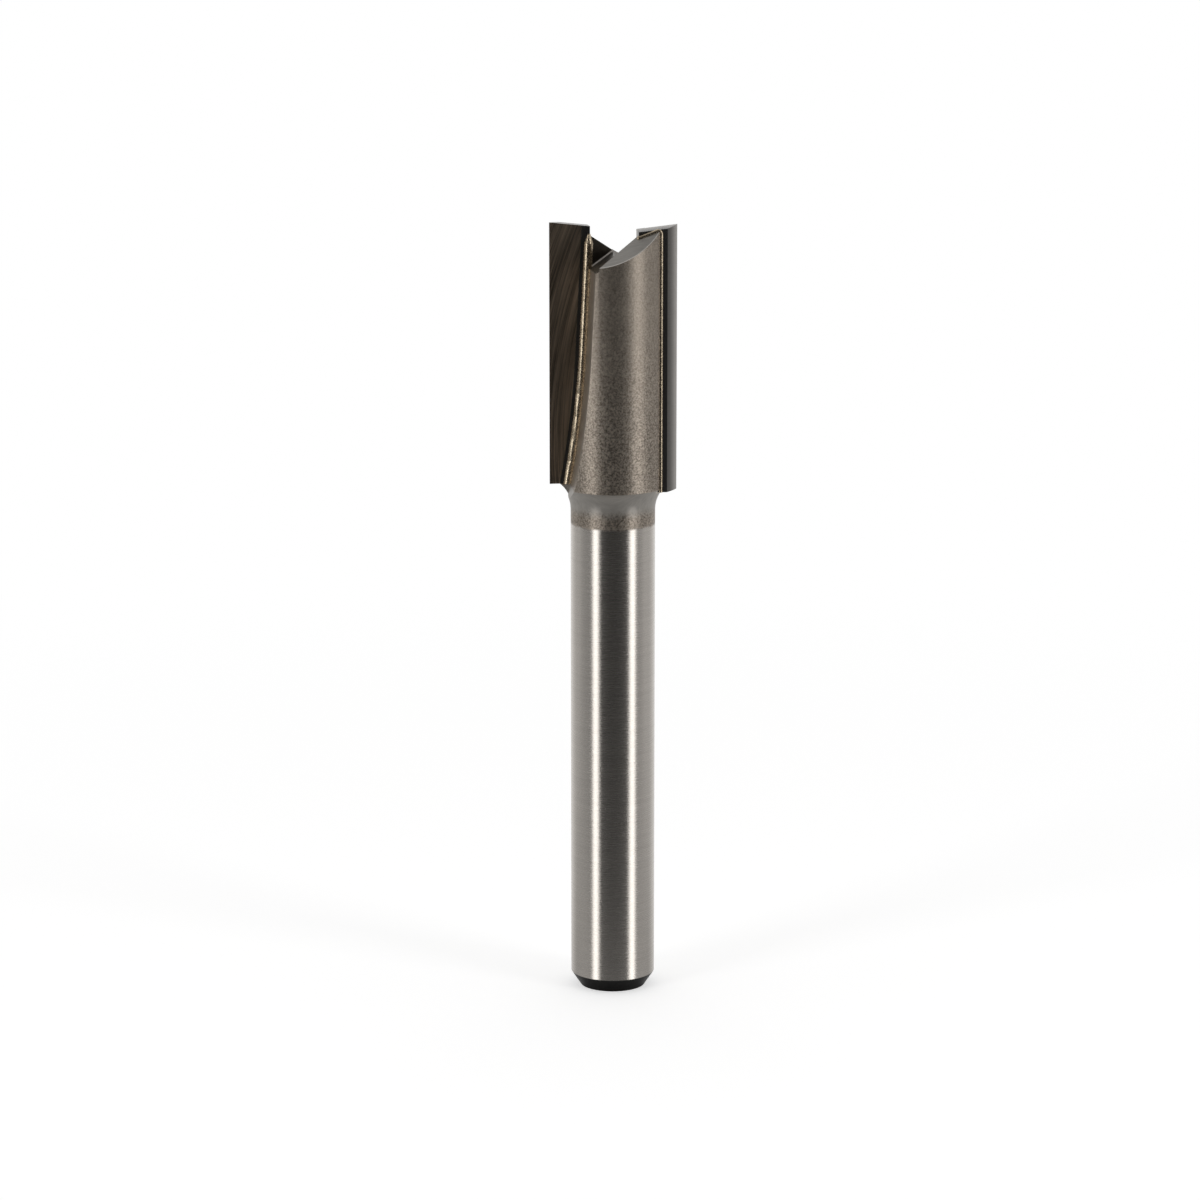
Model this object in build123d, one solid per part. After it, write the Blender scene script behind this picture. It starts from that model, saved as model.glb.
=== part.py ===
from build123d import *
import os
from math import cos, radians, sin, sqrt, tan

# Two-flute straight router bit, standing on the end of its shank.
# Origin: centre of the shank's end face.  +Z runs up the shank to the cutter.
# Every length is in millimetres and every angle in degrees.

# Shank, turned and ground from steel bar
SHANK_DIAMETER = 6.35
END_CHAMFER_RADIAL = 0.72
END_CHAMFER_LENGTH = 1.08

# Cutter body, turned on the same bar
OVERALL_LENGTH = 58.7
CUTTING_DIAMETER = 9.525
CUTTING_LENGTH = 19.75
BODY_DIAMETER = 8.0
BODY_SETBACK = 0.35
NECK_LENGTH = 1.8

# Carbide tips, brazed in behind the gullets
FLUTES = 2
TIP_WIDTH = 3.05
TIP_THICKNESS = 1.3
TIP_EXTRA_LENGTH = {"a": 0.0, "b": 0.2}
HOOK_ANGLE = 12.0
RELIEF_ANGLE = 14.0
RELIEF_RADIUS = 5.3
END_DISH_ANGLE = 5.5
END_CLEARANCE_ANGLE = 4.0
RAKE_GRIND_DEPTH = 0.05
RAKE_GRIND_MARGIN = 0.76

# Gullets, milled lengthwise with a large wheel that lifts out at the neck
CORE_RADIUS_AT_END = 1.56
GULLET_TAPER = 2.83
GULLET_STRAIGHT_LENGTH = 9.55
GULLET_WHEEL_RADIUS = 76.0
GULLET_CLOSING = 1.7

# Slot across the end of the body, roof-shaped at the bottom, that parts the two tips
SLOT_SIDE = {"a": 1.52, "b": 2.55}
SLOT_DIRECTION = 40.0
SLOT_DEPTH = 2.35
SLOT_FALL = 33.3
SLOT_RIDGE_TURN = 4.4
SLOT_CORNER_RADIUS = 0.12

# End relief of the steel behind each tip, ground one side at a time
RELIEF_DEPTH = {"a": 3.92, "b": 2.86}
RELIEF_FALL = 35.7
RELIEF_DIRECTION = 72.0

# Silver solder between tip and steel
BRAZE_FILM = 0.08
BRAZE_INNER_FILM = 0.12
BRAZE_FRONT_FILM = 0.04
BEAD_BEND_RADIUS = 0.22
FRONT_BEAD_RADIUS = 0.35
FRONT_BEAD_SHIFT = 0.17
FRONT_BEAD_RISE = 0.2
FRONT_BEAD_TOP_RADIUS = 0.1
FRONT_BEAD_TAPER_LENGTH = 0.7
BACK_BEAD_RADIUS = 0.15

# Clearances that only make the cutting solids reach past the steel
REACH = 3.0 * CUTTING_DIAMETER
OVERSHOOT = 1.0
GULLET_WHEEL_SWEEP = 30.0

# Derived sizes
shank_radius = SHANK_DIAMETER / 2
body_radius = BODY_DIAMETER / 2
cutting_radius = CUTTING_DIAMETER / 2
rim_height = OVERALL_LENGTH - CUTTING_LENGTH
body_top = OVERALL_LENGTH - BODY_SETBACK
neck_step = body_radius - shank_radius
neck_arc_radius = (neck_step**2 + NECK_LENGTH**2) / (2 * neck_step)

# The rake plane holds the cutting edge of the tip on the +X side.
# Its local x runs inward from the edge, its local y is +Z and its normal points forward.
inward = Vector(-cos(radians(HOOK_ANGLE)), -sin(radians(HOOK_ANGLE)), 0)
forward = Vector(-sin(radians(HOOK_ANGLE)), cos(radians(HOOK_ANGLE)), 0)
cutting_edge_foot = Vector(cutting_radius, 0, 0)
rake_plane = Plane(origin=cutting_edge_foot, x_dir=inward, z_dir=forward)
seat_plane = rake_plane.offset(-TIP_THICKNESS)

# The slot plane lies level with the cutting ends, its local x along the slot.
along_slot = Vector(1, 0, 0).rotate(Axis.Z, SLOT_DIRECTION)
slot_plane = Plane(origin=(0, 0, OVERALL_LENGTH), x_dir=along_slot, z_dir=(0, 0, 1))
slot_ridge = Vector(0, 0, OVERALL_LENGTH - SLOT_DEPTH)


def reach_in_plane(plane, radius):
    """Distance inward along a plane's local x at which it passes through this radius."""
    foot = plane.origin
    along = foot.dot(inward)
    return -along - sqrt(along**2 - foot.dot(foot) + radius**2)


def other_side(shape):
    """The same shape turned half round the bit's axis."""
    return Rot(0, 0, 360 / FLUTES) * shape


def turned_blank():
    """Shank, neck and cutter body as they leave the lathe."""
    with BuildPart() as blank:
        with BuildSketch(Plane.XZ):
            with BuildLine():
                bottom = Polyline(
                    (0, 0),
                    (shank_radius - END_CHAMFER_RADIAL, 0),
                    (shank_radius, END_CHAMFER_LENGTH),
                    (shank_radius, rim_height - NECK_LENGTH),
                )
                half_height = NECK_LENGTH / 2
                half_bulge = neck_arc_radius - sqrt(neck_arc_radius**2 - half_height**2)
                neck = ThreePointArc(
                    bottom @ 1,
                    (shank_radius + half_bulge, rim_height - half_height),
                    (body_radius, rim_height),
                )
                Polyline(neck @ 1, (body_radius, body_top), (0, body_top), (0, 0))
            make_face()
        revolve(axis=Axis.Z)
    return blank.part


def gullet_corner(shift):
    """Foot line of the gullet in the rake plane, moved outward by a shift."""
    slope = radians(GULLET_TAPER)
    top = (cutting_radius - CORE_RADIUS_AT_END - shift, OVERALL_LENGTH)
    bend = (top[0] - GULLET_STRAIGHT_LENGTH * tan(slope), top[1] - GULLET_STRAIGHT_LENGTH)
    sweep_end = radians(GULLET_WHEEL_SWEEP)
    drop = GULLET_WHEEL_RADIUS * (sin(sweep_end) - sin(slope))
    lift = GULLET_WHEEL_RADIUS * (cos(slope) - cos(sweep_end))
    run_out = (bend[0] - lift, bend[1] - drop)
    above = (top[0] + OVERSHOOT * tan(slope), top[1] + OVERSHOOT)
    straight = Line(above, bend)
    lifting = TangentArc(bend, run_out, tangent=(-sin(slope), -cos(slope)))
    return [straight, lifting]


def gullet_face(plane, shift):
    """Everything outside the gullet's foot line, as a face in the rake plane."""
    straight, lifting = gullet_corner(shift)
    outside = -REACH
    far = Polyline(lifting @ 1, (outside, (lifting @ 1).Y), (outside, (straight @ 0).Y), straight @ 0)
    return plane * make_face([straight, lifting, *far.edges()])


def gullet_cut():
    """Chip space in front of a tip, closing slightly towards its mouth."""
    closing = radians(GULLET_CLOSING)
    mouth = forward * cos(closing) - inward * sin(closing)
    return extrude(gullet_face(rake_plane, 0), amount=REACH, dir=mouth)


def tip_slab(extra_length, margin_in=0.0, margin_back=0.0, margin_front=0.0):
    """Flat block of a tip's width and thickness, with margins for its seat."""
    bottom = rim_height - extra_length - margin_back
    width = TIP_WIDTH + margin_in
    height = OVERALL_LENGTH + OVERSHOOT - bottom
    thickness = RAKE_GRIND_DEPTH + margin_front + TIP_THICKNESS + margin_back
    front = rake_plane.offset(RAKE_GRIND_DEPTH + margin_front)
    face = front * Pos(width / 2, bottom + height / 2) * Rectangle(width, height)
    return extrude(face, amount=-thickness)


def seat_pocket(extra_length):
    """Slot in the body that takes a tip and its solder."""
    return tip_slab(extra_length, BRAZE_INNER_FILM, BRAZE_FILM, BRAZE_FRONT_FILM)


def above_slope(foot, direction, fall):
    """Block over a plane that passes through a foot point and rises in a direction in plan."""
    normal = Vector(-sin(radians(fall)), 0, cos(radians(fall))).rotate(Axis.Z, direction)
    return extrude(Plane(origin=foot, z_dir=normal) * Rectangle(2 * REACH, 2 * REACH), amount=2 * REACH)


def end_slot():
    """Slot between the tips, whose floor falls both ways from a ridge over the axis."""
    width = SLOT_SIDE["a"] + SLOT_SIDE["b"]
    middle = slot_plane * Pos(0, SLOT_SIDE["a"] - width / 2)
    lane = extrude(middle * Rectangle(REACH, width), amount=REACH, both=True)
    halves = []
    for turn in (0, 180):
        half = above_slope(slot_ridge, SLOT_RIDGE_TURN + turn, SLOT_FALL) & lane
        floor = half.faces().sort_by(Axis.Z)[0]
        halves.append(fillet(floor.edges().sort_by(SortBy.LENGTH)[-2:], SLOT_CORNER_RADIUS))
    return halves[0] + halves[1]


def relief_foot(depth):
    """Point where the end relief meets the body's surface straight behind a tip."""
    return Vector(-body_radius, 0, OVERALL_LENGTH - depth).rotate(Axis.Z, RELIEF_DIRECTION)


def slope_height(point, foot, direction, fall):
    """Height over a point in plan of the plane that rises from a foot point in a direction."""
    uphill = Vector(1, 0, 0).rotate(Axis.Z, direction)
    return foot.Z + (point - foot).dot(uphill) * tan(radians(fall))


def steel_height(point, flute):
    """Height of the milled steel over a point in plan beside a tip."""
    if abs(slot_plane.to_local_coords(point).Y) < SLOT_SIDE[flute]:
        return slope_height(point, slot_ridge, SLOT_RIDGE_TURN, -SLOT_FALL)
    return slope_height(point, relief_foot(RELIEF_DEPTH[flute]), RELIEF_DIRECTION, RELIEF_FALL)


def end_relief(flute):
    """Plane ground on the steel behind a tip, outside the slot."""
    beside = slot_plane * Pos(0, -SLOT_SIDE[flute] - REACH / 2)
    lobe = extrude(beside * Rectangle(REACH, REACH), amount=REACH, both=True)
    return above_slope(relief_foot(RELIEF_DEPTH[flute]), RELIEF_DIRECTION, RELIEF_FALL) & lobe


def milled_body():
    """Body with its gullets, end slot and end relief, before the seats."""
    gullet = gullet_cut()
    body = turned_blank() - gullet - other_side(gullet) - end_slot()
    return body - end_relief("b") - other_side(end_relief("a"))


def relief_round():
    """Eccentric cylinder whose surface is the ground relief of a tip."""
    angle = radians(RELIEF_ANGLE)
    centre_x = cutting_radius - RELIEF_RADIUS * cos(angle)
    centre_y = RELIEF_RADIUS * sin(angle)
    disc = Pos(centre_x, centre_y) * Circle(RELIEF_RADIUS)
    return extrude(disc, amount=OVERALL_LENGTH + 2 * OVERSHOOT)


def rake_grind():
    """What is ground off the face of a tip, short of the gullet's foot line."""
    return extrude(gullet_face(rake_plane, RAKE_GRIND_MARGIN), amount=REACH)


def carbide_tip(extra_length):
    """Tip with ground rake face, ground relief and dished end edge."""
    tip = (tip_slab(extra_length) - rake_grind()) & relief_round()
    dish = tan(radians(END_DISH_ANGLE))
    clearance = tan(radians(END_CLEARANCE_ANGLE))
    corner = Vector(cutting_radius, 0, OVERALL_LENGTH)
    end_normal = Vector(-dish, -clearance, 1)
    return split(tip, bisect_by=Plane(origin=corner, z_dir=end_normal), keep=Keep.BOTTOM)


def bead(plane, path, radius):
    """Round bead of solder along a path drawn in a plane."""
    route = plane * path
    start = Plane(origin=route @ 0, z_dir=route % 0)
    return sweep(start * Circle(radius), path=route)


def above(height):
    """Block that holds everything above a height."""
    return Pos(0, 0, height + REACH / 2) * Box(REACH, REACH, REACH)


def front_bead(flute):
    """Solder fillet where the gullet meets the tip's face, thinning to the top of the steel."""
    straight, lifting = gullet_corner(FRONT_BEAD_SHIFT)
    steel_top = steel_height(rake_plane.from_local_coords(((straight @ 0).X, 0, 0)), flute)
    thinning_height = steel_top + FRONT_BEAD_RISE - FRONT_BEAD_TAPER_LENGTH
    thinning = (thinning_height - (straight @ 0).Y) / (straight @ 1 - straight @ 0).Y
    path = Wire([Line(straight @ thinning, straight @ 1), lifting])
    thickest = Plane(origin=(rake_plane * path) @ 0, z_dir=-((rake_plane * path) % 0))
    ends = [thickest * Circle(FRONT_BEAD_RADIUS)]
    ends.append(thickest.offset(FRONT_BEAD_TAPER_LENGTH) * Circle(FRONT_BEAD_TOP_RADIUS))
    return bead(rake_plane, path, FRONT_BEAD_RADIUS) + loft(ends)


def back_bead(flute):
    """Solder fillet up the back of a tip and over the relieved end of the body."""
    outer = reach_in_plane(seat_plane, body_radius)
    corners = [(outer, rim_height - OVERSHOOT)]
    for reach in (outer, TIP_WIDTH):
        height = steel_height(seat_plane.from_local_coords((reach, 0, 0)), flute)
        corners.append((reach, height))
    path = FilletPolyline(*corners, radius=BEAD_BEND_RADIUS)
    round_end = Pos(seat_plane.from_local_coords(path @ 1)) * Sphere(BACK_BEAD_RADIUS)
    return bead(seat_plane, path, BACK_BEAD_RADIUS) + round_end


def braze_seam(flute, steel, tip):
    """Solder film around a tip, with the beads that stand out of it."""
    extra_length = TIP_EXTRA_LENGTH[flute]
    beads = (front_bead(flute) + back_bead(flute)) & above(rim_height - extra_length)
    return (steel & seat_pocket(extra_length)) + (beads - steel) - tip


if __name__ == "__main__":
    os.makedirs("parts", exist_ok=True)
    steel = milled_body()
    turned_steel = other_side(steel)
    tip_a = carbide_tip(TIP_EXTRA_LENGTH["a"])
    tip_b = carbide_tip(TIP_EXTRA_LENGTH["b"])
    body = steel - seat_pocket(TIP_EXTRA_LENGTH["b"]) - other_side(seat_pocket(TIP_EXTRA_LENGTH["a"]))
    pieces = {
        "tool_body": body,
        "carbide_tip_a": other_side(tip_a),
        "carbide_tip_b": tip_b,
        "braze_seam_a": other_side(braze_seam("a", turned_steel, tip_a)),
        "braze_seam_b": braze_seam("b", steel, tip_b),
    }
    for name, piece in pieces.items():
        export_step(piece, f"parts/{name}.step")
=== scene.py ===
from math import cos, radians, sin, tan

import bpy
from bpy.props import FloatProperty, FloatVectorProperty, PointerProperty
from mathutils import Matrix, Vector

bl_info = {
    "name": "Straight Router Bit",
    "version": (1, 0, 0),
    "blender": (4, 5, 0),
    "location": "3D View > Sidebar > Router Bit",
    "description": "Finishes and lights a two-flute straight router bit with brazed tips",
    "category": "Object",
}

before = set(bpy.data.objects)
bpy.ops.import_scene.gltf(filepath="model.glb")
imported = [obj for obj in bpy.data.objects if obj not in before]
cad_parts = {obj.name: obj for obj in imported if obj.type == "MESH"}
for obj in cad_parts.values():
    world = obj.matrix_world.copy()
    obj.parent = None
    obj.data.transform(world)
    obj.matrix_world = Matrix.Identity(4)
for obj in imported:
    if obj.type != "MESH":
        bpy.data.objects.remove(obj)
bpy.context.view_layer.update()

MILLIMETRE = 0.001
TAB = "Router Bit"

# Sizes of the bit that its finishes follow, in millimetres and radians
CUTTING_RADIUS = 4.7625
BODY_RADIUS = 4.0
HOOK_ANGLE = radians(12.0)
TIP_THICKNESS = 1.3
RAKE_GRIND_DEPTH = 0.05
CHAMFER_TOP = 1.08
RIM_HEIGHT = 38.95
SLOT_DIRECTION = radians(40.0)
SLOT_NEAR = -2.56
SLOT_FAR = 1.53
SLOT_FALL = radians(33.3)
SLOT_RIDGE = 56.35
RIDGE_DIRECTION = radians(4.4)

# Softness of the border between two finishes, in millimetres
CRISP = 0.005
FINE = 0.01
SHARP = 0.02
SOFT = 0.1
RAGGED = 0.45
BLAST_BORDER = 0.25

# Heights over which the end relief starts and the blasted grain grows fainter, and where the milled faces
# start, in millimetres
RELIEF_FOOT = (50.0, 51.0)
GRAIN_FADE = (41.0, 54.0)
MILLED_FOOT = 39.3

# Painted highlight where the slot's far wall meets its floor: its place from that wall and from the floor, in
# millimetres
CORNER_ACROSS = (-0.13, 0.03)
CORNER_OVER = (-0.06, 0.16)
CORNER_BLUR = 0.03

# Depths inside the round surface between which the turned rim ends and the relief has a painted edge
# highlight, in millimetres
RIM_DEPTH = (0.12, 0.05)

# How far the slot's finish starts below its floor, and the pressed carbide's in front of a tip's back, in
# millimetres
SLOT_MARGIN = 0.05
BACK_MARGIN = 0.01

# Rise of a face's normal past which the face counts as level
LEVEL_FACE = 0.4

# How square a face is to the flutes when it counts as a rake face
RAKED_FACE = (0.90, 0.96)

# Distances from the middle over which the relief grows darker towards the tip, in millimetres
TIP_REACH = (0.5, BODY_RADIUS)

# How far the clouds and the grain shift the neck's lower border, and the ragged edge the blasting's, in
# millimetres
NECK_BY_CLOUD = 0.7
NECK_BY_GRAIN = 0.5
BLAST_SHIFT = 0.25

# Centre of the arcs that the grinding wheel left on the tips, in millimetres from the axis and the foot
WHEEL_CENTRE = (38.0, 42.0)

# Depths of the marks in the surfaces, in metres
GRIND_DEPTH = 0.0000012
BLAST_DEPTH = 0.000013
SCRATCH_DEPTH = 0.000004
LUMP_HEIGHT = 0.000015

# Detail and roughness of the random patterns
STREAKED = (3.0, 0.6)
SPECKLED = (3.0, 0.72)
CLOUDED = (3.0, 0.55)
PITTED = (2.0, 0.6)
SCRATCHED = (4.0, 0.62)
LUMPED = (3.0, 0.65)

# Levels of a pattern between which it goes from none to full
PIT_LEVELS = (0.30, 0.72)
SCRATCH_LEVELS = (0.33, 0.72)
BROAD_LEVELS = (0.3, 0.75)
FLUX_LEVELS = (0.48, 0.72)

# Waves of each pattern in a metre along X, Y and Z
CLOUDS = (900.0, 900.0, 900.0)
RAGGED_EDGE = (1500.0, 1500.0, 1500.0)
STAINS = (3000.0, 3000.0, 3000.0)
FLUX_PATCHES = (1800.0, 1800.0, 1800.0)
TIP_CLOUDS = (500.0, 500.0, 500.0)
WHEEL_STROKES = (600.0, 9000.0, 2500.0)
LAND_LINES = (900.0, 900.0, 14000.0)

# Waves in a metre of the shank's marks and bands across its axis
MARKS_AROUND = 250.0
BANDS_AROUND = 25.0

# Waves in a millimetre of the rake faces' broad bands, then how fast the scratches and the bands change along
# Z, and both along Y
BROAD_WAVES = 1.4
SCRATCH_DRIFT = 0.12
BROAD_DRIFT = 0.1
DEPTH_DRIFT = 0.5

# Waves of the shank's bands as a share of its marks' along the axis, of the blasted bumps as a share of the
# grain's, and of the solder's cells as a share of its lumps'
BAND_SHARE = 0.15
BUMP_SHARE = 0.6
CELL_SHARE = 2.2

# Share of its colour that each finish shows, and how far each pattern or place changes that share
SHANK_SHADE = 0.80
MARK_SHADE = 0.22
BAND_SHADE = 0.18
BLASTED_SHADE = 0.88
GRAIN_SHADE = 1.05
GRAIN_LOSS = 0.58
CLOUD_SHADE = 0.30
STROKED_SHADE = 0.72
STROKE_SHADE = 0.56
RELIEF_SHADE = 0.08
RELIEF_EDGE_HIGHLIGHT = 0.8
TIP_SIDE_SHADE = 0.24
SLOT_WALL_PAINTED_SHADE = 0.5
CHAMFER_SHADE = 0.7
STAIN_SHADE = 0.6
RAKE_SHADE = 0.35
SCRATCH_SHADE = 0.8
BROAD_SHADE = 0.7
TIP_CLOUD_SHADE = 0.2
LAND_SHADE = 0.22
LINE_SHADE = 0.20
EDGE_SHADE = 0.66
SOLDER_SHADE = 0.38
LUMP_SHADE = 0.50
CELL_SHADE = 0.58
FLUX_COVER = 0.4

# Roughness of each finish, and how far each pattern or place changes it
SHANK_ROUGHNESS = 0.23
MARK_ROUGHNESS = 0.08
BODY_ROUGHNESS = 0.42
PIT_ROUGHNESS = 0.05
NECK_ROUGHNESS = 0.08
RELIEF_ROUGHNESS = 0.05
CHAMFER_ROUGHNESS = 0.45
TIP_ROUGHNESS = 0.24
SCRATCH_ROUGHNESS = 0.18
PRESSED_ROUGHNESS = 0.12
SOLDER_ROUGHNESS = 0.20
CELL_ROUGHNESS = 0.14

# Depth of the wheel's strokes beside the blasted bumps
STROKE_SHARE = 0.4

# How far the shank's highlights are stretched, and the turn that lays them lengthwise
SHANK_STRETCH = 0.5
QUARTER_TURN = 0.25


def colour_property(name, description, default):
    """Colour that a user can change, as linear light."""
    return FloatVectorProperty(
        name=name, description=description, default=default, subtype="COLOR", size=3, min=0.0, max=1.0
    )


def length_property(name, description, default):
    """Length that a user can change, in metres."""
    return FloatProperty(name=name, description=description, default=default, unit="LENGTH", precision=5)


def angle_property(name, description, degrees):
    """Angle that a user can change, given in degrees."""
    return FloatProperty(name=name, description=description, default=radians(degrees), subtype="ANGLE")


def level_property(name, description, default):
    """Level or power that a user can change, never below 0."""
    return FloatProperty(name=name, description=description, default=default, min=0.0)


def share_property(name, description, default):
    """Share that a user can change, from 0 to 1."""
    return FloatProperty(name=name, description=description, default=default, min=0.0, max=1.0)


class RouterBitSteel(bpy.types.PropertyGroup):
    ground_colour: colour_property("Ground steel", "Colour of the ground shank", (0.62, 0.58, 0.535))
    blasted_colour: colour_property("Blasted steel", "Colour of the blasted body", (0.43, 0.372, 0.312))
    neck_colour: colour_property("Neck", "Colour of the turned neck", (0.48, 0.455, 0.42))
    relief_colour: colour_property("Relief", "Colour of the ground relief", (0.40, 0.382, 0.355))
    # Dark colour painted over the slot for the shade that falls in it
    slot_shade_colour: colour_property("Slot", "Colour of the milled slot", (0.13, 0.115, 0.095))
    chamfer_colour: colour_property("Chamfer", "Colour of the chamfer at the foot", (0.035, 0.034, 0.033))
    blast_top: length_property("Blasting ends", "Height on the shank where the blasting starts", 0.0361)
    neck_foot: length_property("Neck starts", "Height where the smooth neck starts", 0.0372)
    grain: length_property("Blast grain", "Size of the pits in the blasted steel", 0.00014)
    grind_pitch: length_property("Grinding pitch", "Distance between grinding marks", 0.00006)


class RouterBitTips(bpy.types.PropertyGroup):
    colour: colour_property("Carbide", "Colour of the ground carbide", (0.39, 0.31, 0.235))
    land_colour: colour_property("Ground lands", "Colour of the faces behind the edges", (0.38, 0.36, 0.335))
    pressed_colour: colour_property("Pressed carbide", "Colour where it is not ground", (0.075, 0.072, 0.068))
    scratch_pitch: length_property("Scratch pitch", "Distance between the grinding scratches", 0.00011)


class RouterBitSolder(bpy.types.PropertyGroup):
    colour: colour_property("Solder", "Colour of the silver solder", (0.66, 0.55, 0.40))
    flux_colour: colour_property("Flux", "Colour of the dark flux on the solder", (0.16, 0.11, 0.07))
    lump: length_property("Lump size", "Size of the lumps along the solder", 0.00018)


class RouterBitStage(bpy.types.PropertyGroup):
    backdrop: colour_property("Backdrop", "Colour of the floor and the backdrop", (1.0, 1.0, 1.0))
    azimuth: angle_property("Camera azimuth", "Angle round the bit", 4.5)
    elevation: angle_property("Camera elevation", "Angle above the floor", 12.83)
    distance: length_property("Camera distance", "From the middle of the bit", 0.339)
    ceiling: level_property("Ceiling", "Light level overhead", 0.33)
    floor_polish: share_property("Floor polish", "How much the floor mirrors", 0.7)
    floor_roughness: share_property("Floor roughness", "Blur of what the floor mirrors", 0.1)
    floor_glow: level_property("Floor glow", "Light added to the floor near the bit", 0.54)
    strip_power: level_property("Strip power", "Power of each side lamp in watts", 0.8)
    top_power: level_property("Top power", "Power of the overhead lamp in watts", 0.12)


class Term:
    """Socket that can be written into sums, which add their Math nodes."""

    def __init__(self, board, socket):
        self.board = board
        self.socket = socket

    def maths(self, operation, *others):
        """Result of a Math node on this socket and any others."""
        return self.board.maths(operation, self, *others)

    def __add__(self, other):
        return self.maths("ADD", other)

    def __radd__(self, other):
        return self.maths("ADD", other)

    def __sub__(self, other):
        return self.maths("SUBTRACT", other)

    def __rsub__(self, other):
        return self.board.maths("SUBTRACT", other, self)

    def __mul__(self, other):
        return self.maths("MULTIPLY", other)

    def __rmul__(self, other):
        return self.maths("MULTIPLY", other)

    def __truediv__(self, other):
        return self.maths("DIVIDE", other)


class Board:
    """Node tree of one material or of the world."""

    def __init__(self, tree):
        self.tree = tree
        self.tree.nodes.clear()

    def add(self, kind, settings=None, sockets=None, output=0):
        """Adds a node with its settings and sockets, and gives back one of its outputs."""
        node = self.tree.nodes.new(kind)
        for name, value in (settings or {}).items():
            if name == "stops":
                self.set_stops(node.color_ramp, value)
            else:
                setattr(node, name, value)
        for name, value in (sockets or {}).items():
            if isinstance(value, Term):
                self.tree.links.new(value.socket, node.inputs[name])
            else:
                node.inputs[name].default_value = value
        return Term(self, node.outputs[output]) if node.outputs else None

    def maths(self, operation, *terms):
        """Result of a Math node on numbers or sockets."""
        return self.add("ShaderNodeMath", {"operation": operation}, dict(enumerate(terms)))

    def set_stops(self, ramp, stops):
        """Sets the positions and grey levels of a colour ramp."""
        while len(ramp.elements) < len(stops):
            ramp.elements.new(1.0)
        for element, (position, level) in zip(ramp.elements, stops):
            element.position = position
            element.color = (level, level, level, 1.0)

    def step(self, term, low, high):
        """Smooth step from 0 at one value to 1 at another."""
        settings = {"interpolation_type": "SMOOTHSTEP"}
        sockets = {"Value": term, "From Min": low, "From Max": high}
        return self.add("ShaderNodeMapRange", settings, sockets)

    def past(self, term, limit, blur):
        """1 where a term is past a limit and 0 before it, with a soft border."""
        return self.step(term, limit - blur, limit + blur)

    def place(self, output="Object"):
        """Place on the piece in metres, or another output of the coordinates."""
        return self.add("ShaderNodeTexCoord", {}, {}, output)

    def axis(self, vector, letter):
        """One component of a vector or a colour."""
        return self.add("ShaderNodeSeparateXYZ", {}, {0: vector}, letter)

    def millimetres(self):
        """Place on the piece along X, Y and Z, in millimetres."""
        place = self.place()
        return [self.axis(place, letter) / MILLIMETRE for letter in "XYZ"]

    def facing(self, towards):
        """How far the surface faces a direction, from -1 to 1."""
        normal = self.add("ShaderNodeNewGeometry", {}, {}, "True Normal")
        return self.along(normal, towards)

    def along(self, vector, towards):
        """How far a vector reaches along a direction."""
        return self.add("ShaderNodeVectorMath", {"operation": "DOT_PRODUCT"}, {0: vector, 1: towards}, 1)

    def inside(self, term, low, high, blur):
        """1 between two values and 0 outside them, with soft ends."""
        return self.past(term, low, blur) * (1.0 - self.past(term, high, blur))

    def joined(self, *terms):
        """Vector from three numbers or sockets."""
        return self.add("ShaderNodeCombineXYZ", {}, dict(enumerate(terms)))

    def cells(self, vector, scale):
        """Random level, different in each small cell."""
        sockets = {"Vector": self.scaled(vector, scale), "Scale": 1.0}
        return self.axis(self.add("ShaderNodeTexVoronoi", {}, sockets, "Color"), "X")

    def scaled(self, vector, scale):
        """Vector stretched along each axis."""
        return self.add("ShaderNodeVectorMath", {"operation": "MULTIPLY"}, {0: vector, 1: scale})

    def noise(self, vector, scale, detail=2.0, roughness=0.5):
        """Smooth random level, with a number of waves along each axis."""
        sockets = {"Vector": self.scaled(vector, scale), "Scale": 1.0}
        sockets.update({"Detail": detail, "Roughness": roughness})
        return self.add("ShaderNodeTexNoise", {}, sockets)

    def mixed(self, factor, first, second):
        """Colour between two, where each may be a plain colour or a socket."""
        settings = {"data_type": "RGBA"}
        colours = [item if isinstance(item, Term) else (*item, 1.0) for item in (first, second)]
        return self.add("ShaderNodeMix", settings, {0: factor, 6: colours[0], 7: colours[1]}, 2)

    def shaded(self, colour, level):
        """Colour made darker or lighter by a number."""
        return self.add("ShaderNodeMix", {"data_type": "RGBA", "blend_type": "MULTIPLY"},
                        {0: 1.0, 6: colour, 7: self.grey(level)}, 2)

    def mix_level(self, factor, first, second):
        """Number between two."""
        return self.add("ShaderNodeMix", {"data_type": "FLOAT"}, {0: factor, 2: first, 3: second})

    def grey_of(self, colour):
        """Plain colour as a socket."""
        return self.mixed(0.0, colour, colour)

    def facing_flutes(self):
        """1 on surfaces parallel to the faces of the tips."""
        return self.facing((-sin(HOOK_ANGLE), cos(HOOK_ANGLE), 0.0)).maths("ABSOLUTE")

    def grey(self, level):
        """Grey colour of a level."""
        return self.add("ShaderNodeCombineColor", {}, {0: level, 1: level, 2: level})

    def bump(self, height, distance):
        """Normal tilted by marks of a depth."""
        return self.add("ShaderNodeBump", {}, {"Height": height, "Distance": distance, "Strength": 1.0})

    def metal(self, colour, roughness, normal, stretch=0.0, turn=0.0):
        """Metal shader, whose highlights may be stretched one way."""
        sockets = {
            "Base Color": colour,
            "Roughness": roughness,
            "Metallic": 1.0,
            "Normal": normal,
            "Anisotropic": stretch,
            "Anisotropic Rotation": turn,
        }
        return self.add("ShaderNodeBsdfPrincipled", {}, sockets)

    def light(self, colour, strength=1.0):
        """Shader that gives off light of its own."""
        return self.add("ShaderNodeEmission", {}, {"Color": colour, "Strength": strength})

    def blend(self, factor, first, second):
        """Shader between two."""
        return self.add("ShaderNodeMixShader", {}, {0: factor, 1: first, 2: second})

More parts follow.
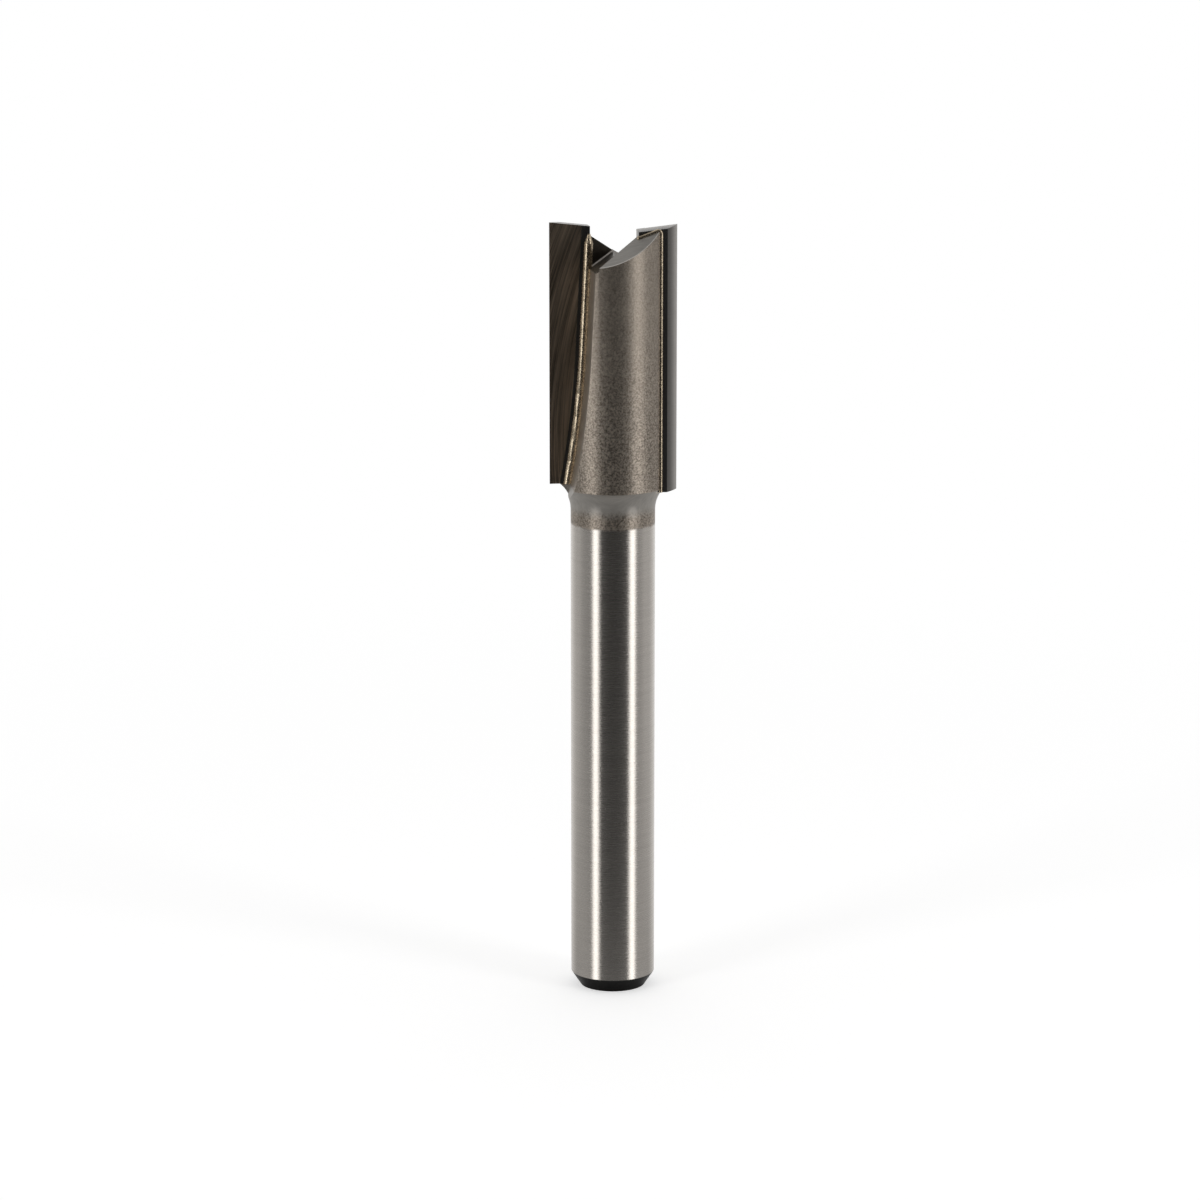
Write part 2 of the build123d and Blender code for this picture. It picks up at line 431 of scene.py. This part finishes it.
    def ramp(self, stops, position):
        """Grey level at a position along a ramp."""
        return self.add("ShaderNodeValToRGB", {"stops": stops}, {0: position})

    def seen_by(self, *kinds):
        """1 for any of the kinds of ray that are named."""
        rays = [self.add("ShaderNodeLightPath", {}, {}, "Is %s Ray" % kind) for kind in kinds]
        total = rays[0]
        for ray in rays[1:]:
            total = total.maths("MAXIMUM", ray)
        return total

    def surface(self, shader, kind="ShaderNodeOutputMaterial"):
        """Gives the shader to the tree's output."""
        self.add(kind, {}, {"Surface": shader})


def new_material(name):
    """Material with an empty board."""
    material = bpy.data.materials.new(name)
    material.use_nodes = True
    return material, Board(material.node_tree)


def dress(node_name, material):
    """Gives a CAD node its finish."""
    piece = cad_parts[node_name]
    piece.material_slots[0].material = material


def ground_steel(board, look):
    """Shank, ground round and round so that its highlights stretch lengthwise."""
    place = board.place()
    along = 1.0 / look.grind_pitch
    marks = board.noise(place, (MARKS_AROUND, MARKS_AROUND, along), *STREAKED)
    bands = board.noise(place, (BANDS_AROUND, BANDS_AROUND, BAND_SHARE * along))
    shade = SHANK_SHADE + MARK_SHADE * marks + BAND_SHADE * bands
    colour = board.shaded(board.grey_of(look.ground_colour), shade)
    roughness = SHANK_ROUGHNESS + MARK_ROUGHNESS * marks
    return board.metal(colour, roughness, board.bump(marks, GRIND_DEPTH), SHANK_STRETCH, QUARTER_TURN)


def end_zones(board):
    """Where the slot, its level floor, the painted highlight along the foot of its far wall, and the relief
    lie on the end of the body.
    """
    x, y, z = board.millimetres()
    across = y * cos(SLOT_DIRECTION) - x * sin(SLOT_DIRECTION)
    from_ridge = (x * cos(RIDGE_DIRECTION) + y * sin(RIDGE_DIRECTION)).maths("ABSOLUTE")
    over_floor = z + from_ridge * tan(SLOT_FALL) - SLOT_RIDGE
    in_slot = board.past(over_floor, -SLOT_MARGIN, SHARP) * board.inside(across, SLOT_NEAR, SLOT_FAR, FINE)
    level = board.past(board.facing((0.0, 0.0, 1.0)), LEVEL_FACE, SOFT)
    by_wall = board.inside(across - SLOT_FAR, *CORNER_ACROSS, SHARP)
    # Painted highlight along the foot of the slot's far wall
    corner_highlight = by_wall * board.inside(over_floor, *CORNER_OVER, CORNER_BLUR)
    relief = level * (1.0 - in_slot) * board.step(z, *RELIEF_FOOT)
    return in_slot, level, corner_highlight, relief


def neck_zone(board, look, z, raggedness):
    """Where the smooth neck lies, with a ragged lower border and a sharp upper one."""
    foot = look.neck_foot / MILLIMETRE
    return board.past(z + raggedness, foot, RAGGED) * (1.0 - board.past(z, RIM_HEIGHT - SHARP, SHARP))


def grained(board, z, pits, cloud):
    """Shade of the blasted steel, with grain that is strongest low on the body."""
    contrast = GRAIN_SHADE - GRAIN_LOSS * board.step(z, *GRAIN_FADE)
    return BLASTED_SHADE + contrast * (pits - 0.5) + CLOUD_SHADE * (cloud - 0.5)


def stroked(board, x, strokes, relief, rim_and_edge_highlight):
    """Shade of the steel that a wheel or a lathe has smoothed."""
    near_tip = board.step(x.maths("ABSOLUTE"), *TIP_REACH)
    # On the relief: a painted highlight along its outer edge, and darker towards the tip
    on_relief = RELIEF_SHADE + RELIEF_EDGE_HIGHLIGHT * rim_and_edge_highlight - TIP_SIDE_SHADE * near_tip
    return STROKED_SHADE + STROKE_SHADE * strokes + relief * on_relief


def body_colour(board, look, neck, relief, in_slot, corner_highlight):
    """Colour of the body before its patterns, with painted shade over the slot and a painted highlight along
    the foot of its far wall.
    """
    colour = board.mixed(neck, look.blasted_colour, look.neck_colour)
    colour = board.mixed(relief, colour, look.relief_colour)
    colour = board.mixed(in_slot, colour, look.slot_shade_colour)
    # Painted highlight: the ground steel's colour laid along the foot of the slot's far wall
    return board.mixed(corner_highlight, colour, look.ground_colour)


def body_steel(board, look):
    """Blasted body with its smooth neck, ground relief and a slot painted dark for the shade that falls in
    it.
    """
    place = board.place()
    x, y, z = board.millimetres()
    grain = board.noise(place, (1.0 / look.grain,) * 3, *SPECKLED)
    pits = board.step(grain, *PIT_LEVELS)
    cloud = board.noise(place, CLOUDS, *CLOUDED)
    strokes = board.noise(place, WHEEL_STROKES, *STREAKED)
    in_slot, level, corner_highlight, relief = end_zones(board)
    neck = neck_zone(board, look, z, NECK_BY_CLOUD * (cloud - 0.5) + NECK_BY_GRAIN * (grain - 0.5))
    from_axis = (x * x + y * y).maths("SQRT")
    rim_and_edge_highlight = board.step(from_axis, BODY_RADIUS - RIM_DEPTH[0], BODY_RADIUS - RIM_DEPTH[1])
    milled = board.past(z, MILLED_FOOT, SOFT) * (1.0 - rim_and_edge_highlight)
    smooth = (neck + relief + in_slot + milled).maths("MINIMUM", 1.0)
    shade = board.mix_level(smooth, grained(board, z, pits, cloud), stroked(board, x, strokes, relief, rim_and_edge_highlight))
    # Painted shade: the slot's walls are darkened further than its floor
    painted_wall_shade = 1.0 - SLOT_WALL_PAINTED_SHADE * in_slot * (1.0 - level)
    colour = board.shaded(body_colour(board, look, neck, relief, in_slot, corner_highlight), shade * painted_wall_shade)
    roughness = BODY_ROUGHNESS + PIT_ROUGHNESS * pits + NECK_ROUGHNESS * neck - RELIEF_ROUGHNESS * relief
    bumps = board.noise(place, (BUMP_SHARE / look.grain,) * 3, *PITTED)
    height = board.mix_level(neck + relief, bumps, STROKE_SHARE * strokes)
    return board.metal(colour, roughness, board.bump(height, BLAST_DEPTH))


def steel_material(look):
    """Ground shank below, blasted body above and a black chamfer at the foot."""
    material, board = new_material("tool_steel_finish")
    place = board.place()
    z = board.axis(place, "Z") / MILLIMETRE
    ragged = z + BLAST_SHIFT * board.noise(place, RAGGED_EDGE)
    start = look.blast_top / MILLIMETRE
    blasted = board.step(ragged, start, start + BLAST_BORDER)
    both = board.blend(blasted, ground_steel(board, look), body_steel(board, look))
    stained = CHAMFER_SHADE + STAIN_SHADE * board.noise(place, STAINS)
    black = board.shaded(board.grey_of(look.chamfer_colour), stained)
    # The chamfer at the foot is made near black, with a blotchy level
    scale = board.metal(black, CHAMFER_ROUGHNESS, board.bump(ragged, GRIND_DEPTH))
    chamfer = 1.0 - board.past(z, CHAMFER_TOP, SHARP)
    board.surface(board.blend(chamfer, both, scale))
    return material


def wheel_ring(x, z, side):
    """Distance from the centre of the arcs that the grinding wheel left, in millimetres."""
    reach = x * side + WHEEL_CENTRE[0]
    drop = z - WHEEL_CENTRE[1]
    return (reach * reach + drop * drop).maths("SQRT")


def rake_patterns(board, look, ring, y, z):
    """Fine scratches and broad bands along the grinding wheel's arcs."""
    arcs = board.joined(ring / look.scratch_pitch * MILLIMETRE, z * SCRATCH_DRIFT, y * DEPTH_DRIFT)
    bands = board.joined(ring * BROAD_WAVES, z * BROAD_DRIFT, y * DEPTH_DRIFT)
    even = (1.0, 1.0, 1.0)
    return board.noise(arcs, even, *SCRATCHED), board.noise(bands, even)


def carbide_material(look):
    """Dark carbide, ground on the faces that cut and left black where it was only pressed."""
    material, board = new_material("carbide_finish")
    place = board.place()
    x, y, z = board.millimetres()
    side = x.maths("SIGN")
    proud = (x * side - CUTTING_RADIUS) * -sin(HOOK_ANGLE) + y * side * cos(HOOK_ANGLE)
    front = board.past(proud, RAKE_GRIND_DEPTH / 2, CRISP)
    pressed = front + 1.0 - board.past(proud, BACK_MARGIN - TIP_THICKNESS, CRISP)
    scratches, broad = rake_patterns(board, look, wheel_ring(x, z, side), y, z)
    fine_streaks = SCRATCH_SHADE * board.step(scratches, *SCRATCH_LEVELS)
    broad_streaks = BROAD_SHADE * board.step(broad, *BROAD_LEVELS)
    rake = RAKE_SHADE + fine_streaks + broad_streaks + TIP_CLOUD_SHADE * board.noise(place, TIP_CLOUDS)
    lines = board.noise(place, LAND_LINES, *STREAKED)
    land = LAND_SHADE + LINE_SHADE * lines + EDGE_SHADE * board.step(proud, -TIP_THICKNESS, 0.0)
    raked = board.step(board.facing_flutes(), *RAKED_FACE)
    colour = board.mixed(raked, look.land_colour, look.colour)
    ground = board.shaded(colour, board.mix_level(raked, land, rake))
    finish = board.mixed(pressed, ground, look.pressed_colour)
    roughness = TIP_ROUGHNESS + SCRATCH_ROUGHNESS * scratches + PRESSED_ROUGHNESS * pressed
    board.surface(board.metal(finish, roughness, board.bump(scratches, SCRATCH_DEPTH)))
    return material


def solder_material(look):
    """Pale grainy solder with bright lumps and dark flux between them."""
    material, board = new_material("silver_solder_finish")
    place = board.place()
    lumps = board.noise(place, (1.0 / look.lump,) * 3, *LUMPED)
    cells = board.cells(place, (CELL_SHARE / look.lump,) * 3)
    flux = board.step(board.noise(place, FLUX_PATCHES, *STREAKED), *FLUX_LEVELS)
    colour = board.mixed(FLUX_COVER * flux, look.colour, look.flux_colour)
    shade = SOLDER_SHADE + LUMP_SHADE * lumps + CELL_SHADE * cells
    roughness = SOLDER_ROUGHNESS + CELL_ROUGHNESS * cells
    board.surface(board.metal(board.shaded(colour, shade), roughness, board.bump(lumps, LUMP_HEIGHT)))
    return material


class ROUTERBIT_OT_tool_body(bpy.types.Operator):
    """Finish the steel body and shank"""

    bl_idname = "routerbit.tool_body"
    bl_label = "Tool Body"

    def execute(self, context):
        dress("tool_body", steel_material(context.scene.router_bit_steel))
        return {"FINISHED"}


class ROUTERBIT_OT_carbide_tips(bpy.types.Operator):
    """Finish the two cutting tips"""

    bl_idname = "routerbit.carbide_tips"
    bl_label = "Carbide Tips"

    def execute(self, context):
        material = carbide_material(context.scene.router_bit_tips)
        for side in "ab":
            dress("carbide_tip_" + side, material)
        return {"FINISHED"}


class ROUTERBIT_OT_braze_seams(bpy.types.Operator):
    """Finish the solder round the tips"""

    bl_idname = "routerbit.braze_seams"
    bl_label = "Braze Seams"

    def execute(self, context):
        material = solder_material(context.scene.router_bit_solder)
        for side in "ab":
            dress("braze_seam_" + side, material)
        return {"FINISHED"}


# Width of the floor, and how far to the front and back its mirrored light changes, in metres
FLOOR_SPAN = 4.0
FLOOR_FADE = 0.2

# Distances from the bit over which its shadow on the floor gives way to plain white, in metres
SHADOW_REACH = (0.03, 0.15)

# Light level at shares of the way from straight behind the bit to straight in front of it
ROOM_LEVELS = (
    (0.0, 1.0), (0.07, 0.8), (0.25, 0.38), (0.50, 0.42), (0.66, 0.38), (0.80, 0.12), (0.92, 0.03), (1.0, 0.02)
)

# Steepness, as the sine of the angle above the floor, over which the ceiling takes over from the room
CEILING_RISE = (0.5, 0.95)

# Light level of the mirrored floor at shares of the way from its dark front to the white back
FLOOR_LEVELS = ((0.0, 0.015), (0.14, 0.02), (0.29, 0.06), (0.43, 0.16), (0.50, 0.42), (0.56, 0.8), (1.0, 1.0))

# Side lamps: angles round the bit in degrees, and the rest in metres
STRIP_ANGLES = (-43.5, 60.0)
STRIP_DISTANCE = 0.5
STRIP_SIZE = (0.15, 0.6)
STRIP_HEIGHT = 0.05

# Overhead lamp: height, shift to the back and size in metres
TOP_HEIGHT = 0.6
TOP_SHIFT = 0.05
TOP_SIZE = (0.5, 0.5)

# Camera: middle of the bit and how far beside it the camera aims in metres, lens and sensor in millimetres
MIDDLE = Vector((0.0, 0.0, 0.029))
AIM_RIGHT = -0.00097
AIM_UP = 0.00107
FOCAL_LENGTH = 134.7
SENSOR = 36.0
NEAREST = 0.01


def direction(azimuth, elevation):
    """Unit vector from the bit towards a place round it."""
    return Vector((sin(azimuth) * cos(elevation), -cos(azimuth) * cos(elevation), sin(elevation)))


def add_aimed(name, data, location, target):
    """Lamp or camera that looks from a place towards a point."""
    thing = bpy.data.objects.new(name, data)
    bpy.context.collection.objects.link(thing)
    thing.location = location
    thing.rotation_mode = "QUATERNION"
    thing.rotation_quaternion = (location - target).to_track_quat("Z", "Y")
    return thing


def add_area_lamp(name, location, target, size, power):
    """Soft rectangular lamp aimed at a point."""
    data = bpy.data.lights.new(name, "AREA")
    data.shape = "RECTANGLE"
    data.size, data.size_y = size
    data.energy = power
    add_aimed(name, data, location, target)


def add_camera(look):
    """Camera at the height and angle of a bench view."""
    data = bpy.data.cameras.new("bench_camera")
    data.lens = FOCAL_LENGTH
    data.sensor_width = SENSOR
    data.clip_start = NEAREST
    back = direction(look.azimuth, look.elevation)
    right = Vector((cos(look.azimuth), sin(look.azimuth), 0.0))
    target = MIDDLE + right * AIM_RIGHT + back.cross(right) * AIM_UP
    bpy.context.scene.camera = add_aimed("bench_camera", data, MIDDLE + back * look.distance, target)


def add_world(look):
    """White backdrop that runs round the sides into a dark room in front, under a grey ceiling."""
    world = bpy.data.worlds.new("studio")
    world.use_nodes = True
    bpy.context.scene.world = world
    board = Board(world.node_tree)
    ray = board.place("Generated")
    towards = board.along(ray, direction(look.azimuth, 0.0))
    around = board.ramp(ROOM_LEVELS, 0.5 + 0.5 * towards)
    overhead = board.step(board.axis(ray, "Z"), *CEILING_RISE)
    room = board.mix_level(overhead, around, look.ceiling)
    level = board.mix_level(board.seen_by("Camera"), room, 1.0)
    light = board.shaded(board.grey_of(look.backdrop), level)
    board.surface(board.add("ShaderNodeBackground", {}, {"Color": light}), "ShaderNodeOutputWorld")


def shadowed_floor(board, look, white, diffuse):
    """Floor as the camera sees it, with the bit's soft shadow near its foot and white further out."""
    near = board.add("ShaderNodeAddShader", {}, {0: diffuse, 1: board.light(white, look.floor_glow)})
    reach = board.add("ShaderNodeVectorMath", {"operation": "LENGTH"}, {0: board.place()}, 1)
    return board.blend(board.step(reach, *SHADOW_REACH), near, board.light(white))


def mirrored_floor(board, look, white):
    """Floor as the steel mirrors it, white behind the bit and dim in front."""
    back = 0.5 + 0.5 * board.axis(board.place(), "Y") / FLOOR_FADE
    dim = board.light(board.shaded(board.grey_of(look.backdrop), board.ramp(FLOOR_LEVELS, back)))
    polished = board.add("ShaderNodeBsdfGlossy", {}, {"Color": white, "Roughness": look.floor_roughness})
    return board.blend(look.floor_polish, dim, polished)


def floor_material(look):
    """Floor that scatters light, is seen with its shadow and is mirrored dimmer in front."""
    material, board = new_material("floor_finish")
    white = (*look.backdrop, 1.0)
    diffuse = board.add("ShaderNodeBsdfDiffuse", {}, {"Color": white})
    mirrored = mirrored_floor(board, look, white)
    both = board.blend(board.seen_by("Glossy", "Transmission"), diffuse, mirrored)
    seen = shadowed_floor(board, look, white, diffuse)
    board.surface(board.blend(board.seen_by("Camera"), both, seen))
    material.cycles.emission_sampling = "NONE"
    return material


def add_floor(look):
    """White floor under the bit."""
    bpy.ops.object.select_all(action="DESELECT")
    bpy.ops.mesh.primitive_plane_add(size=FLOOR_SPAN, location=(0.0, 0.0, 0.0))
    floor = bpy.context.object
    floor.name = "floor"
    floor.data.materials.append(floor_material(look))


def add_lamps(look):
    """Strip lamps on both sides and a weak lamp overhead."""
    middle = Vector((0.0, 0.0, STRIP_HEIGHT))
    for angle in STRIP_ANGLES:
        spot = middle + direction(radians(angle), 0.0) * STRIP_DISTANCE
        add_area_lamp("strip_lamp", spot, middle, STRIP_SIZE, look.strip_power)
    add_area_lamp("top_lamp", Vector((0.0, TOP_SHIFT, TOP_HEIGHT)), MIDDLE, TOP_SIZE, look.top_power)


class ROUTERBIT_OT_stage(bpy.types.Operator):
    """Add the floor, the backdrop, the lamps and the camera"""

    bl_idname = "routerbit.stage"
    bl_label = "Stage"

    def execute(self, context):
        look = context.scene.router_bit_stage
        context.scene.view_settings.view_transform = "Standard"
        add_world(look)
        add_floor(look)
        add_lamps(look)
        add_camera(look)
        return {"FINISHED"}


class ROUTERBIT_PT_panel(bpy.types.Panel):
    """Sidebar panel that lists the bit's pieces and its stage"""

    bl_idname = "ROUTERBIT_PT_panel"
    bl_label = "Router Bit"
    bl_space_type = "VIEW_3D"
    bl_region_type = "UI"
    bl_category = TAB

    def draw(self, context):
        for operator, group in PIECES:
            self.layout.operator(operator.bl_idname)
            settings = getattr(context.scene, group)
            for name in settings.bl_rna.properties.keys():
                if name not in ("rna_type", "name"):
                    self.layout.prop(settings, name)


GROUPS = {
    "router_bit_steel": RouterBitSteel,
    "router_bit_tips": RouterBitTips,
    "router_bit_solder": RouterBitSolder,
    "router_bit_stage": RouterBitStage,
}
PIECES = (
    (ROUTERBIT_OT_tool_body, "router_bit_steel"),
    (ROUTERBIT_OT_carbide_tips, "router_bit_tips"),
    (ROUTERBIT_OT_braze_seams, "router_bit_solder"),
    (ROUTERBIT_OT_stage, "router_bit_stage"),
)


def register():
    """Adds the settings, the operators and the panel to Blender."""
    for name, group in GROUPS.items():
        bpy.utils.register_class(group)
        setattr(bpy.types.Scene, name, PointerProperty(type=group))
    for operator, _ in PIECES:
        bpy.utils.register_class(operator)
    bpy.utils.register_class(ROUTERBIT_PT_panel)


def unregister():
    """Takes them away again."""
    bpy.utils.unregister_class(ROUTERBIT_PT_panel)
    for operator, _ in reversed(PIECES):
        bpy.utils.unregister_class(operator)
    for name, group in GROUPS.items():
        delattr(bpy.types.Scene, name)
        bpy.utils.unregister_class(group)


def main():
    """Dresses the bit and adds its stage."""
    register()
    bpy.ops.routerbit.tool_body()
    bpy.ops.routerbit.carbide_tips()
    bpy.ops.routerbit.braze_seams()
    bpy.ops.routerbit.stage()


if __name__ == "__main__":
    main()
